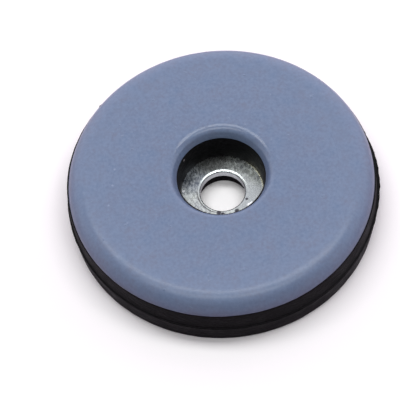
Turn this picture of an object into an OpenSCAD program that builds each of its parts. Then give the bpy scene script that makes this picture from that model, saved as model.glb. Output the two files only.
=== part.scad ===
// Round screw-on furniture glide: a PTFE cap formed over a rubber base, with a
// steel washer moulded in for the screw's head. It lies base down, cap up.

/* [Glide] */
// Diameter of the cap
cap_d = 30; // [26:0.5:50]
// Height from the underside to the sliding face
height = 6.2; // [6:0.1:10]

/* [Cap] */
// Thickness of the PTFE sheet
sheet_t = 1; // [0.6:0.1:1.2]
// Depth of the turned-down edge, from the sliding face to its end
edge_h = 1.8; // [1.5:0.1:1.9]
// Outside radius of the bend of the turned-down edge
edge_r = 2; // [2:0.1:3]
// Diameter at which the hole's rounded edge meets the sliding face
hole_face_d = 10.8; // [10:0.1:12]
// Diameter of the hole at the sheet's underside
hole_d = 8.5; // [8.3:0.1:9]

/* [Base] */
// Diameter of the straight foot of the recess for the screw's head
recess_d = 8.1; // [7.5:0.1:8.2]
// Height of the straight foot, above which the recess widens to the cap's hole
recess_foot_h = 1.2; // [0.5:0.1:1.6]
// Diameter of the screw hole in the web below the washer
web_hole_d = 5; // [4.8:0.1:6]
// Thickness of the web below the washer
web_t = 1.4; // [1:0.1:1.6]
// Height of the moulding line above the underside
flash_z = 2.3; // [1.5:0.1:2.6]
// Thickness of the flash at the moulding line
flash_t = 0.2; // [0.1:0.05:0.4]
// How far the flash stands out past the cap
flash_out = 0.35; // [0.25:0.05:0.5]
// How far the rubber at the foot of the flash stands out past the cap
band_out = 0.15; // [0.05:0.05:0.2]
// Radius of the underside's outer edge
foot_r = 0.25; // [0.1:0.05:0.5]

/* [Washer] */
// Outer diameter of the washer
washer_d = 9; // [9:0.1:10]
// Bore of the washer
washer_bore_d = 4.4; // [4.2:0.1:4.4]
// Thickness of the washer
washer_t = 0.8; // [0.6:0.1:1]
// Radius of the upper edge of the washer's bore
bore_edge_r = 0.3; // [0.05:0.05:0.4]

/* [Hidden] */
$fn = 128;

// How far a cutting shape reaches past what it cuts
margin = 1;

cap_r = cap_d / 2;
// Levels of the sheet's underside and of the end of its turned-down edge
sheet_z = height - sheet_t;
edge_end_z = height - edge_h;
// The rubber inside the cap fills the sheet's inner form
core_r = cap_r - sheet_t;
core_edge_r = edge_r - sheet_t;
// Arc that rounds the hole's edge over the full thickness of the sheet
hole_face_r = hole_face_d / 2;
round_w = hole_face_r - hole_d / 2;
round_r = (round_w * round_w + sheet_t * sheet_t) / (2 * sheet_t);
// Radii of the rubber at the moulding line, and of the flash's rim
band_r = cap_r + band_out;
flash_r = cap_r + flash_out;
// Radii of the base's holes, and level of the washer's upper face
recess_r = recess_d / 2;
web_hole_r = web_hole_d / 2;
washer_r = washer_d / 2;
washer_z = web_t + washer_t;

// Rectangle of a section, between its corners [x0, z0] and [x1, z1]
module block(x0, z0, x1, z1) {
    translate([x0, z0]) square([x1 - x0, z1 - z0]);
}

// Rounds off the upper right corner of a section, which is at [x, z]
module round_off(x, z, r) {
    difference() {
        block(x - r, z - r, x + margin, z + margin);
        translate([x - r, z - r]) circle(r);
    }
}

// Everything inside the sheet, down to the level bottom and from x0 outwards
module core_section(x0, bottom) {
    difference() {
        block(x0, bottom, core_r, sheet_z);
        round_off(core_r, sheet_z, core_edge_r);
    }
}

module cap_section() {
    difference() {
        block(0, edge_end_z, cap_r, height);
        round_off(cap_r, height, edge_r);
        core_section(-margin, flash_z);
        difference() {
            block(-margin, sheet_z - margin, hole_face_r, height + margin);
            translate([hole_face_r, height - round_r]) circle(round_r);
        }
    }
}

// The rubber's side below the cap: two bands that meet at the flash
module side_section() {
    difference() {
        polygon([
            [0, 0],
            [cap_r, 0],
            [cap_r, foot_r],
            [band_r, flash_z],
            [flash_r, flash_z],
            [flash_r, flash_z + flash_t],
            [band_r, flash_z + flash_t],
            [cap_r, edge_end_z],
            [0, edge_end_z]
        ]);
        mirror([0, 1]) round_off(cap_r, 0, foot_r);
    }
}

module recess_section() {
    polygon([
        [-margin, washer_z],
        [recess_r, washer_z],
        [recess_r, washer_z + recess_foot_h],
        [hole_d / 2, sheet_z],
        [hole_d / 2, height],
        [-margin, height]
    ]);
}

module base_section() {
    difference() {
        union() {
            side_section();
            core_section(web_hole_r, flash_z);
        }
        block(-margin, -margin, web_hole_r, height);
        block(-margin, web_t, washer_r, washer_z);
        recess_section();
    }
}

module washer_section() {
    bore_r = washer_bore_d / 2;
    difference() {
        block(0, web_t, washer_r, washer_z);
        block(-margin, web_t - margin, bore_r, washer_z + margin);
        mirror([1, 0]) round_off(-bore_r, washer_z, bore_edge_r);
    }
}

module glide_cap() {
    color("#7c8aa7") rotate_extrude() cap_section();
}

module base() {
    color("#1c1c1e") rotate_extrude() base_section();
}

module washer() {
    color("#a9a9a0") rotate_extrude() washer_section();
}

glide_cap();
base();
washer();
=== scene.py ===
# Looks of a screw-on furniture glide: a slate-blue PTFE cap formed over a black
# rubber base, with a zinc-plated steel washer at the bottom of its recess.
import math

import bmesh
import bpy
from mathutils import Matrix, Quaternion, Vector, noise


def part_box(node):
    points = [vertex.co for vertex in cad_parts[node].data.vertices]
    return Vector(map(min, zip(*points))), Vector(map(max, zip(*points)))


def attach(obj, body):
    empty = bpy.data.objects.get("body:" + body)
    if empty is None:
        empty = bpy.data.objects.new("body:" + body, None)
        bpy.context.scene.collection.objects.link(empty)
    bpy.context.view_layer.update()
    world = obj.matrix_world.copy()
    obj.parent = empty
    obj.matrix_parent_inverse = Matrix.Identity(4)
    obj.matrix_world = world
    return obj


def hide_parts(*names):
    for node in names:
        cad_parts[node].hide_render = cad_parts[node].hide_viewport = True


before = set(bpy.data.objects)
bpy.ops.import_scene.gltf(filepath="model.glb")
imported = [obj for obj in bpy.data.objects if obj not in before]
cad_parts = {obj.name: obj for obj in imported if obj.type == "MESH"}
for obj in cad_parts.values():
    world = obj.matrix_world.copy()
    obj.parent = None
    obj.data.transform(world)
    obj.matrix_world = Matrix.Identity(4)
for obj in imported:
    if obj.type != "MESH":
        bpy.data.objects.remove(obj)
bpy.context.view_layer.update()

# Sections below are written in millimetres, and the meshes are in metres
MM = 0.001

# Levels and radii that the frame gives
cap_low, cap_high = (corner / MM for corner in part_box("glide_cap"))
base_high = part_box("base")[1] / MM
washer_low, washer_high = (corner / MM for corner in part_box("washer"))
HEIGHT = cap_high.z
EDGE_END_Z = cap_low.z
SHEET_Z = base_high.z
FLASH_R = base_high.x
WASHER_R = washer_high.x
WASHER_Z = washer_high.z
WEB_Z = washer_low.z

# The rest of the form, as the part has it
CAP_R = 15
EDGE_R = 2
SHEET_T = HEIGHT - SHEET_Z
HOLE_FACE_R = 5.4
HOLE_R = 4.25
RECESS_R = 4.05
RECESS_FOOT_H = 1.2
WEB_HOLE_R = 2.5
BAND_R = 15.15
FLASH_Z = 2.3
FLASH_T = 0.2
FOOT_R = 0.25
BORE_R = 2.2

# Arcs of the cap's two rounded edges and of the washer's bore, from the flat down: radius of
# the arc and steepest slope
RIM_BENDS = [(2.1, 12), (2.2, 25), (1.6, 48), (2.3, 76)]
LIP_BENDS = [(1.45, 28), (0.65, 64)]
BORE_BENDS = [(0.45, 30), (0.12, 88)]

# How far the hole's edge was pressed towards -Y, how far the recess below it went along, and how
# much lower the edge's middle lies at its two sides
LIP_SHIFT = 0.34
RECESS_SHIFT = 0.13
LIP_SAG = 0.08
LIP_SAG_WIDTH = 1.7

# The cap's edge: where and how far it was drawn in, and how uneven its end and the face are
EDGE_IN_TURN = -5
EDGE_IN = 0.1
EDGE_WAVE = 0.05
FACE_WAVE = 0.012
FACE_WAVE_SIZE = 7

# Rubber that stands out below the cap's edge on one side, and a spur beside it
LEDGE_TURN = 165
LEDGE_OUT = 0.15
LEDGE_H = 0.8
LEDGE_WAVE = 0.3
SPUR_TURN = 139
SPUR_OUT = 0.12
SPUR_WIDTH = 1.5

# How far the foot stands out, and from which radius on the rubber counts as its side
FOOT_OUT = 0.1
FOOT_WAVE = 0.2
SIDE_R = CAP_R - 0.2

# The flash, next to its even ring: change everywhere, more at the right and at the left, and how
# wavy and torn its rim is
FLASH_ALL = -0.15
FLASH_RIGHT_TURN = 15
FLASH_RIGHT = 0.34
FLASH_LEFT_TURN = 180
FLASH_LEFT = 0.1
FLASH_WAVE = 0.03
FLASH_TEAR = 0.02
FLASH_TEAR_RIGHT = 0.08

# The washer's face: how uneven it is, and how it rises to its rim from a radius on
WASHER_WAVE = 0.012
WASHER_WAVE_SIZE = 1.5
RISE_R = 3.8
RISE = 0.12

# How near a level or a radius a point counts as on it
NEAR = 0.1
CLOSE = 0.02
CLOSEST = 0.01

SEGMENTS = 360
DEGREES_A_RADIAN = 57.3


# ---------------------------------------------------------------- sections

def arc(centre, radius, start, end, steps):
    """Points along an arc of a section; angles in degrees, 0 outwards and 90 up."""
    points = []
    for step in range(steps + 1):
        angle = math.radians(start + (end - start) * step / steps)
        points.append((centre[0] + radius * math.cos(angle), centre[1] + radius * math.sin(angle)))
    return points


def soften(section, radius, sharp=25, steps=3, most=0.45):
    """Rounds every corner of a closed section that turns by more than sharp degrees, taking at most
    that share of each edge beside it."""
    rounded = []
    for index, corner in enumerate(section):
        here = Vector(corner)
        before = Vector(section[index - 1]) - here
        after = Vector(section[(index + 1) % len(section)]) - here
        turn = math.pi - before.angle(after)
        if math.degrees(turn) < sharp:
            rounded.append(corner)
            continue
        reach = min(radius * math.tan(turn / 2), most * before.length, most * after.length)
        start = here + before.normalized() * reach
        end = here + after.normalized() * reach
        for step in range(steps + 1):
            share = step / steps
            curve = start * (1 - share) ** 2 + here * 2 * share * (1 - share) + end * share ** 2
            rounded.append(tuple(curve))
    return rounded


def divide(section, longest):
    """Splits the edges of a closed section so that none is longer than longest."""
    divided = []
    for index, corner in enumerate(section):
        here = Vector(corner)
        there = Vector(section[(index + 1) % len(section)])
        parts = max(1, math.ceil((there - here).length / longest))
        for part in range(parts):
            divided.append(tuple(here.lerp(there, part / parts)))
    return divided


def lathe(name, section, shape):
    """A closed ring with that section; shape(r, z, turn) moves its points a little."""
    mesh = bmesh.new()
    rings = []
    for segment in range(SEGMENTS):
        turn = 2 * math.pi * segment / SEGMENTS
        ring = []
        for r, z in section:
            new_r, new_z = shape(r, z, turn)
            place = Vector((new_r * math.cos(turn), new_r * math.sin(turn), new_z)) * MM
            ring.append(mesh.verts.new(place))
        rings.append(ring)
    for segment in range(SEGMENTS):
        ring = rings[segment]
        following = rings[(segment + 1) % SEGMENTS]
        for index in range(len(section)):
            beyond = (index + 1) % len(section)
            mesh.faces.new((ring[index], following[index], following[beyond], ring[beyond]))
    bmesh.ops.recalc_face_normals(mesh, faces=mesh.faces)
    data = bpy.data.meshes.new(name)
    mesh.to_mesh(data)
    mesh.free()
    data.polygons.foreach_set("use_smooth", [True] * len(data.polygons))
    piece = bpy.data.objects.new(name, data)
    bpy.context.scene.collection.objects.link(piece)
    return piece


def wave(turn, size, seed):
    """A smooth uneven value that closes on itself round the glide; size is its finest detail in
    degrees."""
    spread = DEGREES_A_RADIAN / size
    place = Vector((math.cos(turn) * spread, math.sin(turn) * spread, seed))
    return noise.noise(place)


def facing(turn, direction):
    """1 in that direction in degrees, falling to 0 at the quarter turns from it."""
    return max(0, math.cos(turn - math.radians(direction)))


# ---------------------------------------------------------------- pieces

# Longest step of an arc in degrees, and how many steps the plain arcs have
ARC_STEP = 3
EDGE_STEPS = 12
FOOT_STEPS = 6


def bend_down(top, end, bottom, side, bends):
    """Curve from a flat at the level top to the radius end at the level bottom: arcs, then
    straight. side is 1 outwards and -1 inwards; bends lists (radius, steepest slope in degrees)."""
    slopes = [(0, 0, 0)]
    for radius, steepest in bends:
        last_slope, last_r, last_z = slopes[-1]
        steps = math.ceil((steepest - last_slope) / ARC_STEP)
        for step in range(1, steps + 1):
            slope = last_slope + (steepest - last_slope) * step / steps
            ahead, behind = math.radians(slope), math.radians(last_slope)
            out = radius * (math.sin(ahead) - math.sin(behind))
            down = radius * (math.cos(behind) - math.cos(ahead))
            slopes.append((slope, last_r + out, last_z + down))
    slope, last_r, last_z = slopes[-1]
    last_out = (top - bottom - last_z) / math.tan(math.radians(slope))
    slopes.append((slope, last_r + last_out, top - bottom))
    reach = last_r + last_out
    return [(end + side * (r - reach), top - z) for _, r, z in slopes]


def cap_section():
    bend_z = HEIGHT - EDGE_R
    inner_r = EDGE_R - SHEET_T
    inner_end = math.degrees(math.asin((EDGE_END_Z - bend_z) / inner_r))
    section = bend_down(HEIGHT, HOLE_R, SHEET_Z, -1, LIP_BENDS)[::-1]
    section += bend_down(HEIGHT, CAP_R, EDGE_END_Z, 1, RIM_BENDS)
    section += arc((CAP_R - EDGE_R, bend_z), inner_r, inner_end, 90, EDGE_STEPS)
    section.append((HOLE_R + CLOSE, SHEET_Z))
    return divide(soften(section, radius=0.15), longest=0.5)


def pressed(turn):
    """How much of its shift the hole's edge has in that direction."""
    return ((1 - math.sin(turn)) / 2) ** 2


def cap_shape(r, z, turn):
    lift = 0
    if r < HOLE_FACE_R:
        share = (HOLE_FACE_R - r) / (HOLE_FACE_R - HOLE_R)
        across = min(1, LIP_SAG_WIDTH * (1 - share))
        lift = -LIP_SAG * math.cos(turn) ** 2 * math.sin(math.pi * across)
        r += share * LIP_SHIFT * pressed(turn)
    if r > CAP_R - EDGE_R:
        share = (r - CAP_R + EDGE_R) / EDGE_R
        r -= EDGE_IN * facing(turn, EDGE_IN_TURN) ** 3 * share
    if z > SHEET_Z + NEAR and r > HOLE_FACE_R:
        place = Vector((r * math.cos(turn), r * math.sin(turn), 3.0)) / FACE_WAVE_SIZE
        lift = FACE_WAVE * noise.noise(place)
    if z < EDGE_END_Z + NEAR and r > CAP_R - SHEET_T:
        lift = EDGE_WAVE * wave(turn, size=9, seed=1.0)
    return r, z + lift


def base_section():
    core_edge = (CAP_R - EDGE_R, SHEET_Z - EDGE_R + SHEET_T)
    inner_r = EDGE_R - SHEET_T
    inner_end = math.degrees(math.asin((EDGE_END_Z - core_edge[1]) / inner_r))
    section = [(WEB_HOLE_R, 0)]
    section += arc((CAP_R - FOOT_R, FOOT_R), FOOT_R, -90, 0, FOOT_STEPS)
    section += [
        (BAND_R, FLASH_Z),
        (FLASH_R, FLASH_Z),
        (FLASH_R, FLASH_Z + FLASH_T),
        (BAND_R, FLASH_Z + FLASH_T),
        (CAP_R, EDGE_END_Z),
    ]
    section += arc(core_edge, inner_r, inner_end, 90, EDGE_STEPS)
    section += [
        (HOLE_R, SHEET_Z),
        (RECESS_R, WASHER_Z + RECESS_FOOT_H),
        (RECESS_R, WASHER_Z),
        (WASHER_R, WASHER_Z),
        (WASHER_R, WEB_Z),
        (WEB_HOLE_R, WEB_Z),
    ]
    return divide(soften(section, radius=0.06), longest=0.8)


def base_shape(r, z, turn):
    foot_z = WASHER_Z + RECESS_FOOT_H
    in_flash = FLASH_Z - CLOSEST < z < FLASH_Z + FLASH_T + CLOSEST
    if r < HOLE_FACE_R and z > foot_z:
        share = (z - foot_z) / (SHEET_Z - foot_z)
        return r + RECESS_SHIFT * pressed(turn) * share, z
    if r > SIDE_R and z > EDGE_END_Z - LEDGE_H:
        ledge = facing(turn, LEDGE_TURN) ** 6 * (1 + LEDGE_WAVE * wave(turn, size=6, seed=8.0))
        spur = max(0, 1 - abs(math.degrees(turn) - SPUR_TURN) / SPUR_WIDTH)
        return r + LEDGE_OUT * ledge + SPUR_OUT * spur, z
    if r > SIDE_R and z < FLASH_Z - CLOSEST:
        return r + FOOT_OUT * (1 + FOOT_WAVE * wave(turn, size=5, seed=6.0)), z
    if r > BAND_R + CLOSE and in_flash:
        share = (r - BAND_R) / (FLASH_R - BAND_R)
        right = facing(turn, FLASH_RIGHT_TURN) ** 5
        left = facing(turn, FLASH_LEFT_TURN) ** 2
        ragged = FLASH_RIGHT * right + FLASH_LEFT * left + FLASH_ALL
        ragged += FLASH_WAVE * wave(turn, size=8, seed=5.0)
        ragged += (FLASH_TEAR + FLASH_TEAR_RIGHT * right) * wave(turn, size=2, seed=7.0)
        return r + share * ragged, z + share * FLASH_WAVE * wave(turn, size=12, seed=9.0)
    return r, z


def washer_section():
    section = bend_down(WASHER_Z, BORE_R, WEB_Z, -1, BORE_BENDS)[::-1]
    section += [(WASHER_R, WASHER_Z), (WASHER_R, WEB_Z)]
    return divide(soften(section, radius=0.05), longest=0.25)


def washer_shape(r, z, turn):
    lift = 0
    if z > WASHER_Z - CLOSE:
        place = Vector((r * math.cos(turn), r * math.sin(turn), 2.0)) / WASHER_WAVE_SIZE
        lift = WASHER_WAVE * (noise.noise(place) - 1) + RISE * max(0, r - RISE_R) ** 2
    return r, z + lift


# ---------------------------------------------------------------- materials

def mixed(tree, factor, first, second):
    """A colour between first and second, which are colours or sockets."""
    mixer = tree.nodes.new("ShaderNodeMix")
    mixer.data_type = "RGBA"
    tree.links.new(factor, mixer.inputs["Factor"])
    for value, target in ((first, mixer.inputs["A"]), (second, mixer.inputs["B"])):
        if isinstance(value, tuple):
            target.default_value = (*value, 1)
        else:
            tree.links.new(value, target)
    return mixer.outputs["Result"]


# Where a mark starts to fade and where it ends, as shares of its diameter
MARK_FULL = 0.3
MARK_NONE = 0.6


class Surface:
    """A Principled material whose noises and mixes are made by short calls."""

    def __init__(self, name):
        self.material = bpy.data.materials.new(name)
        self.material.use_nodes = True
        self.tree = self.material.node_tree
        self.shader = self.tree.nodes["Principled BSDF"]
        self.place = self.tree.nodes.new("ShaderNodeTexCoord").outputs["Object"]

    def link(self, source, target):
        self.tree.links.new(source, target)

    def noise(self, size, detail=2, stretch=None):
        """Noise from 0 to 1 whose blobs are about size millimetres across; detail adds finer ones."""
        texture = self.tree.nodes.new("ShaderNodeTexNoise")
        texture.inputs["Scale"].default_value = 1 / (size * MM)
        texture.inputs["Detail"].default_value = detail
        place = self.place
        if stretch:
            mapping = self.tree.nodes.new("ShaderNodeMapping")
            mapping.inputs["Scale"].default_value = stretch
            self.link(place, mapping.inputs["Vector"])
            place = mapping.outputs["Vector"]
        self.link(place, texture.inputs["Vector"])
        return texture.outputs["Fac"]

    def radius(self):
        """How far a point is from the glide's axis, in millimetres."""
        level = self.tree.nodes.new("ShaderNodeVectorMath")
        level.operation = "MULTIPLY"
        level.inputs[1].default_value = (1 / MM, 1 / MM, 0)
        self.link(self.place, level.inputs[0])
        length = self.tree.nodes.new("ShaderNodeVectorMath")
        length.operation = "LENGTH"
        self.link(level.outputs["Vector"], length.inputs[0])
        return length.outputs["Value"]

    def mark(self, x, y, z, size):
        """1 in the middle of a round mark of about that diameter, fading to 0 round it."""
        away = self.tree.nodes.new("ShaderNodeVectorMath")
        away.operation = "DISTANCE"
        away.inputs[1].default_value = (x * MM, y * MM, z * MM)
        self.link(self.place, away.inputs[0])
        full, none = MARK_FULL * size * MM, MARK_NONE * size * MM
        return self.spread(away.outputs["Value"], full, none, 1, 0)

    def spread(self, value, low, high, to_low=0, to_high=1):
        """Takes a value between low and high to one between to_low and to_high."""
        ranger = self.tree.nodes.new("ShaderNodeMapRange")
        ranger.inputs["From Min"].default_value = low
        ranger.inputs["From Max"].default_value = high
        ranger.inputs["To Min"].default_value = to_low
        ranger.inputs["To Max"].default_value = to_high
        self.link(value, ranger.inputs["Value"])
        return ranger.outputs["Result"]

    def mix(self, factor, first, second):
        """A colour between first and second, which are colours or other mixes."""
        return mixed(self.tree, factor, first, second)

    def bump(self, height, depth, below=None):
        """A bump of that depth in millimetres, on top of the bump below."""
        bumper = self.tree.nodes.new("ShaderNodeBump")
        bumper.inputs["Distance"].default_value = depth * MM
        self.link(height, bumper.inputs["Height"])
        if below:
            self.link(below, bumper.inputs["Normal"])
        return bumper.outputs["Normal"]


PTFE_VIOLET = (0.157, 0.192, 0.277)
PTFE_BLUE = (0.135, 0.198, 0.309)
PTFE_PALE = (0.171, 0.234, 0.349)
PTFE_IOR = 1.36
# The face is smoother up to the first radius and duller from the second on
PTFE_WEAR_R = (6, 13)
PTFE_ROUGHNESS = (0.18, 0.30)
# Pale specks on the sliding face: place in the plan
FACE_SPECKS = [(-10.24, 1.17), (-10.53, -0.62), (-11.02, -2.81)]
FACE_SPECK_SIZE = 0.22
FACE_SPECK_COLOUR = (0.23, 0.29, 0.41)


def ptfe_surface():
    surface = Surface("ptfe_matte_blue")
    cloud = surface.spread(surface.noise(1.6, detail=3), 0.3, 0.7)
    speck = surface.spread(surface.noise(0.3, detail=3), 0.3, 0.7)
    pit = surface.spread(surface.noise(0.6, detail=1), 0.74, 0.8)
    colour = surface.mix(cloud, PTFE_VIOLET, PTFE_BLUE)
    colour = surface.mix(speck, colour, PTFE_PALE)
    for x, y in FACE_SPECKS:
        spot = surface.mark(x, y, HEIGHT, FACE_SPECK_SIZE)
        colour = surface.mix(spot, colour, FACE_SPECK_COLOUR)
    surface.link(colour, surface.shader.inputs["Base Color"])
    wear = surface.spread(surface.radius(), *PTFE_WEAR_R, *PTFE_ROUGHNESS)
    surface.link(wear, surface.shader.inputs["Roughness"])
    surface.shader.inputs["IOR"].default_value = PTFE_IOR
    grain = surface.bump(surface.noise(0.12), 0.004)
    grain = surface.bump(surface.noise(1.2), 0.010, grain)
    grain = surface.bump(pit, 0.03, grain)
    surface.link(grain, surface.shader.inputs["Normal"])
    return surface.material


RUBBER_DARK = (0.0045, 0.0047, 0.0048)
RUBBER_LIGHT = (0.0080, 0.0084, 0.0086)
RUBBER_GRIT = (0.0125, 0.0128, 0.0140)
RUBBER_GLOSS = 0.036
RUBBER_ROUGHNESS = (0.45, 0.6)
# A pale speck on the wall of the recess: place and diameter
RECESS_SPECK = (-3.43, 2.33, 4.75, 0.3)
RECESS_SPECK_COLOUR = (0.30, 0.28, 0.28)


def rubber_surface():
    surface = Surface("rubber_black")
    cloud = surface.spread(surface.noise(1.5, detail=4), 0.35, 0.65)
    grit = surface.spread(surface.noise(0.25, detail=3), 0.35, 0.65)
    colour = surface.mix(cloud, RUBBER_DARK, RUBBER_LIGHT)
    colour = surface.mix(grit, colour, RUBBER_GRIT)
    colour = surface.mix(surface.mark(*RECESS_SPECK), colour, RECESS_SPECK_COLOUR)
    surface.link(colour, surface.shader.inputs["Base Color"])
    roughness = surface.spread(cloud, 0, 1, *RUBBER_ROUGHNESS)
    surface.link(roughness, surface.shader.inputs["Roughness"])
    surface.shader.inputs["Specular IOR Level"].default_value = RUBBER_GLOSS
    grain = surface.bump(surface.noise(0.15, detail=3), 0.03)
    grain = surface.bump(surface.noise(0.7, detail=3, stretch=(1, 1, 3)), 0.06, grain)
    surface.link(grain, surface.shader.inputs["Normal"])
    return surface.material


ZINC_DARK = (0.24, 0.26, 0.28)
ZINC_MIDDLE = (0.36, 0.39, 0.36)
ZINC_STREAK = (0.46, 0.50, 0.49)
ZINC_SPECK = (0.20, 0.20, 0.20)
ZINC_ROUGHNESS = (0.24, 0.30)
STREAK_STRETCH = (1, 0.5, 1)
# Patches of the washer's face: place in the plan, and diameter
# Painted shade of the recess wall over the far left of the face, mottled like the rest
PAINTED_SHADE_LEFT_PATCH = (-3.1, 2.1, WASHER_Z, 4.5)
PAINTED_SHADE_LEFT_DARK = (0.10, 0.12, 0.15)
PAINTED_SHADE_LEFT_LIGHT = (0.32, 0.35, 0.37)
PLAIN_PATCH = (3.2, -1.5, WASHER_Z, 4.5)
PLAIN_GREY = (0.34, 0.37, 0.38)
# Painted shade next to the far wall of the recess
PAINTED_SHADE_FAR_PATCH = (-0.8, 4.0, WASHER_Z, 4.2)
PAINTED_SHADE_FAR_GREY = (0.16, 0.17, 0.17)
# A yellowish ring at the rim, made lighter as a painted highlight, a painted highlight on the bore's
# edge and wall, and a dark line round it that paints the shade of a step at the punched edge: each
# shows in one part of the washer alone
RIM_HIGHLIGHT_PART = (3.6, 1.6, WASHER_Z, 3.6)
RIM_HIGHLIGHT_FROM_R = (3.92, 4.0)
RIM_YELLOW_HIGHLIGHT = (0.60, 0.60, 0.46)
BORE_GLINT_PART = (0, 1.9, WASHER_Z, 5.2)
BORE_GLINT_TO_R = (2.42, 2.5)
BORE_GLINT_BRIGHT = (0.52, 0.57, 0.57)
STEP_SHADE_PART = (-2.2, -1.6, WASHER_Z, 3.8)
STEP_SHADE_TO_R = (2.52, 2.62)
STEP_SHADE_DARK = (0.08, 0.08, 0.08)
# Dark specks of dirt and bright painted glints on the washer: place in the plan, and diameter
WASHER_DIRT = [(2.29, -1.16, 0.30), (-0.55, -2.45, 0.5), (-0.19, -2.6, 0.4), (1.21, -2.41, 0.5)]
DIRT_COLOUR = (0.05, 0.05, 0.06)
WASHER_GLINTS = [(-3.84, 0.39, 0.3), (2.5, -1.86, 0.45), (2.75, -1.7, 0.4)]
GLINT_COLOUR = (0.80, 0.84, 0.86)


def zinc_surface():
    surface = Surface("zinc_plate")
    cloud = surface.spread(surface.noise(0.9, detail=3), 0.35, 0.65)
    streak = surface.spread(surface.noise(0.22, detail=4, stretch=STREAK_STRETCH), 0.35, 0.65)
    speck = surface.spread(surface.noise(0.2), 0.66, 0.75)
    colour = surface.mix(cloud, ZINC_DARK, ZINC_MIDDLE)
    colour = surface.mix(streak, colour, ZINC_STREAK)
    # Painted shade on the far left of the face, mottled by the streaks
    painted_shade_left = surface.mix(streak, PAINTED_SHADE_LEFT_DARK, PAINTED_SHADE_LEFT_LIGHT)
    colour = surface.mix(surface.mark(*PAINTED_SHADE_LEFT_PATCH), colour, painted_shade_left)
    colour = surface.mix(surface.mark(*PLAIN_PATCH), colour, PLAIN_GREY)
    # Painted shade next to the far wall of the recess
    colour = surface.mix(surface.mark(*PAINTED_SHADE_FAR_PATCH), colour, PAINTED_SHADE_FAR_GREY)
    radius = surface.radius()
    # Yellowish ring at the rim, made lighter as a painted highlight
    rim = surface.mix(surface.spread(radius, *RIM_HIGHLIGHT_FROM_R), colour, RIM_YELLOW_HIGHLIGHT)
    colour = surface.mix(surface.mark(*RIM_HIGHLIGHT_PART), colour, rim)
    # Painted highlight on the bore's edge and wall, on the far side
    bore_glint = surface.mix(surface.spread(radius, *BORE_GLINT_TO_R, 1, 0), colour, BORE_GLINT_BRIGHT)
    colour = surface.mix(surface.mark(*BORE_GLINT_PART), colour, bore_glint)
    # Painted shade of a step at the punched edge: a dark line just outside the bore on the near left
    step_shade = surface.mix(surface.spread(radius, *STEP_SHADE_TO_R, 1, 0), colour, STEP_SHADE_DARK)
    step_shade = surface.mix(surface.spread(radius, *BORE_GLINT_TO_R), colour, step_shade)
    colour = surface.mix(surface.mark(*STEP_SHADE_PART), colour, step_shade)
    colour = surface.mix(speck, colour, ZINC_SPECK)
    # Dark specks of dirt, then bright painted glints
    for dirt_and_glints, dirt_and_glint_colour in ((WASHER_DIRT, DIRT_COLOUR), (WASHER_GLINTS, GLINT_COLOUR)):
        for x, y, size in dirt_and_glints:
            colour = surface.mix(surface.mark(x, y, WASHER_Z, size), colour, dirt_and_glint_colour)
    surface.link(colour, surface.shader.inputs["Base Color"])
    surface.shader.inputs["Metallic"].default_value = 1
    roughness = surface.spread(streak, 0, 1, *ZINC_ROUGHNESS)
    surface.link(roughness, surface.shader.inputs["Roughness"])
    grain = surface.bump(surface.noise(0.14, detail=3, stretch=STREAK_STRETCH), 0.002)
    grain = surface.bump(surface.noise(0.8), 0.006, grain)
    surface.link(grain, surface.shader.inputs["Normal"])
    return surface.material


def add_piece(name, section, shape, node, material):
    piece = lathe(name, section, shape)
    piece.data.materials.append(material)
    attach(piece, "root")
    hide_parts(node)


add_piece("blue_cap", cap_section(), cap_shape, "glide_cap", ptfe_surface())
add_piece("rubber_base", base_section(), base_shape, "base", rubber_surface())
add_piece("steel_washer", washer_section(), washer_shape, "washer", zinc_surface())


# ---------------------------------------------------------------- stage

WHITE = (1, 1, 1)
# The floor, in metres: its side, and how far it lies below the glide
FLOOR_SIZE = 3.0
FLOOR_DROP = 0.00001
# How much it glows for the camera alone, and its colour for the camera, in what things mirror and
# in the light that it throws back
FLOOR_LIFT = 0.012
FLOOR_SEEN = WHITE
FLOOR_GLOSS = (0.84, 0.78, 0.84)
FLOOR_BOUNCE = (0.47, 0.35, 0.43)


def add_floor():
    """A pale floor that the camera sees as white, with the glide's shadow on it."""
    half = FLOOR_SIZE / 2
    corners = [(-half, -half), (half, -half), (half, half), (-half, half)]
    data = bpy.data.meshes.new("floor")
    data.from_pydata([(x, y, -FLOOR_DROP) for x, y in corners], [], [(0, 1, 2, 3)])
    floor = bpy.data.objects.new("floor", data)
    bpy.context.scene.collection.objects.link(floor)

    material = bpy.data.materials.new("floor_white")
    material.use_nodes = True
    tree = material.node_tree
    nodes = tree.nodes
    shader = nodes["Principled BSDF"]
    shader.inputs["Roughness"].default_value = 1
    shader.inputs["Specular IOR Level"].default_value = 0
    shader.inputs["Emission Color"].default_value = (*WHITE, 1)
    rays = nodes.new("ShaderNodeLightPath")
    tone = by_ray(tree, rays, (FLOOR_BOUNCE, FLOOR_GLOSS, FLOOR_SEEN))
    tree.links.new(tone, shader.inputs["Base Color"])
    lift = nodes.new("ShaderNodeMath")
    lift.operation = "MULTIPLY"
    lift.inputs[1].default_value = FLOOR_LIFT
    tree.links.new(rays.outputs["Is Camera Ray"], lift.inputs[0])
    tree.links.new(lift.outputs["Value"], shader.inputs["Emission Strength"])
    data.materials.append(material)


def by_ray(tree, rays, colours):
    """The first colour for the light that falls on things, the second for what they mirror and
    the third for what the camera sees; each is a colour or a socket."""
    thrown, mirrored, seen = colours
    result = mixed(tree, rays.outputs["Is Glossy Ray"], thrown, mirrored)
    return mixed(tree, rays.outputs["Is Camera Ray"], result, seen)


# The colour of the walls' light: what falls on things, and what they mirror
WALL_LIGHT = (0.46, 0.368, 0.46)
WALL_MIRRORED = (1, 0.96, 1)
# The walls are bright low down and behind the glide, dim overhead and before it
WALL_SLOPE = (-0.15, -0.8, 1)
WALL_BRIGHT_TO = 0.1
WALL_BRIGHT = 1.8
WALL_DIM_FROM = 0.86
WALL_DIM = 0.10


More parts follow.
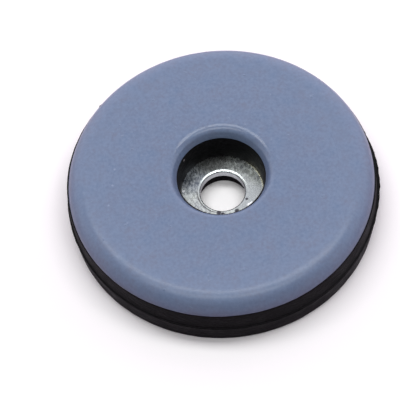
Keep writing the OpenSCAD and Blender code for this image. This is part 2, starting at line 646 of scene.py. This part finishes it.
def set_world():
    """A studio whose walls the camera sees as white."""
    world = bpy.data.worlds.new("studio")
    bpy.context.scene.world = world
    world.use_nodes = True
    tree = world.node_tree
    nodes = tree.nodes
    background = nodes["Background"]
    slope = nodes.new("ShaderNodeVectorMath")
    slope.operation = "DOT_PRODUCT"
    slope.inputs[1].default_value = WALL_SLOPE
    direction = nodes.new("ShaderNodeTexCoord").outputs["Generated"]
    tree.links.new(direction, slope.inputs[0])
    walls = nodes.new("ShaderNodeMapRange")
    walls.interpolation_type = "SMOOTHSTEP"
    walls.inputs["From Min"].default_value = WALL_BRIGHT_TO
    walls.inputs["From Max"].default_value = WALL_DIM_FROM
    walls.inputs["To Min"].default_value = WALL_BRIGHT
    walls.inputs["To Max"].default_value = WALL_DIM
    tree.links.new(slope.outputs["Value"], walls.inputs["Value"])
    level = walls.outputs["Result"]
    rays = nodes.new("ShaderNodeLightPath")
    tint = by_ray(tree, rays, (WALL_LIGHT, WALL_MIRRORED, WHITE))
    tree.links.new(tint, background.inputs["Color"])
    strength = by_ray(tree, rays, (level, level, WHITE))
    tree.links.new(strength, background.inputs["Strength"])


# How high the lamps hang, in metres
LAMP_HEIGHT = 0.6


def add_strip(name, radiance, start, end, width):
    """A long soft lamp level above the glide; start and end are the angles off the zenith of its
    two ends, towards +X and towards +Y, and width is in metres."""
    ends = []
    for angles in (start, end):
        tangents = [math.tan(math.radians(angle)) for angle in angles]
        ends.append(Vector(tangents) * LAMP_HEIGHT)
    along = ends[1] - ends[0]
    middle = (ends[0] + ends[1]) / 2
    lamp = bpy.data.lights.new(name, "AREA")
    lamp.shape = "RECTANGLE"
    lamp.size = along.length
    lamp.size_y = width
    lamp.energy = radiance * math.pi * along.length * width
    strip = bpy.data.objects.new(name, lamp)
    strip.location = (middle.x, middle.y, LAMP_HEIGHT)
    strip.rotation_euler = (0, 0, math.atan2(along.y, along.x))
    bpy.context.scene.collection.objects.link(strip)


# ---------------------------------------------------------------- camera

# The picture's side in pixels, lens and sensor in millimetres, distance in metres, and angles
# in degrees
PICTURE = 400
LENS = 162
SENSOR = 36
CAMERA_DISTANCE = 0.17929
CAMERA_ELEVATION = 59.556
CAMERA_ROLL = 5.436
CLIP_START = 0.01
# Where the middle of the underside lies, in pixels right of and below the picture's centre
MIDDLE_RIGHT = 23.63
MIDDLE_BELOW = 2.085


def add_camera():
    elevation = math.radians(CAMERA_ELEVATION)
    away = Vector((0, -math.cos(elevation), math.sin(elevation)))
    focal = PICTURE * LENS / SENSOR
    aim = Vector((MIDDLE_RIGHT / focal, -MIDDLE_BELOW / focal, -1))
    data = bpy.data.cameras.new("camera")
    data.lens = LENS
    data.sensor_width = SENSOR
    data.clip_start = CLIP_START
    camera = bpy.data.objects.new("camera", data)
    camera.location = away * CAMERA_DISTANCE
    camera.rotation_mode = "QUATERNION"
    level = (-away).to_track_quat("-Z", "Y")
    roll = Quaternion((0, 0, 1), -math.radians(CAMERA_ROLL))
    off_centre = Vector((0, 0, -1)).rotation_difference(aim)
    camera.rotation_quaternion = level @ roll @ off_centre.inverted()
    bpy.context.scene.collection.objects.link(camera)
    bpy.context.scene.camera = camera


add_floor()
set_world()
add_strip("strip_behind", radiance=6.8, start=(-31, 17), end=(34, 3), width=0.158)
add_strip("strip_before", radiance=7.8, start=(-28, -11), end=(26, -19), width=0.082)
add_camera()
bpy.context.scene.view_settings.view_transform = "Standard"
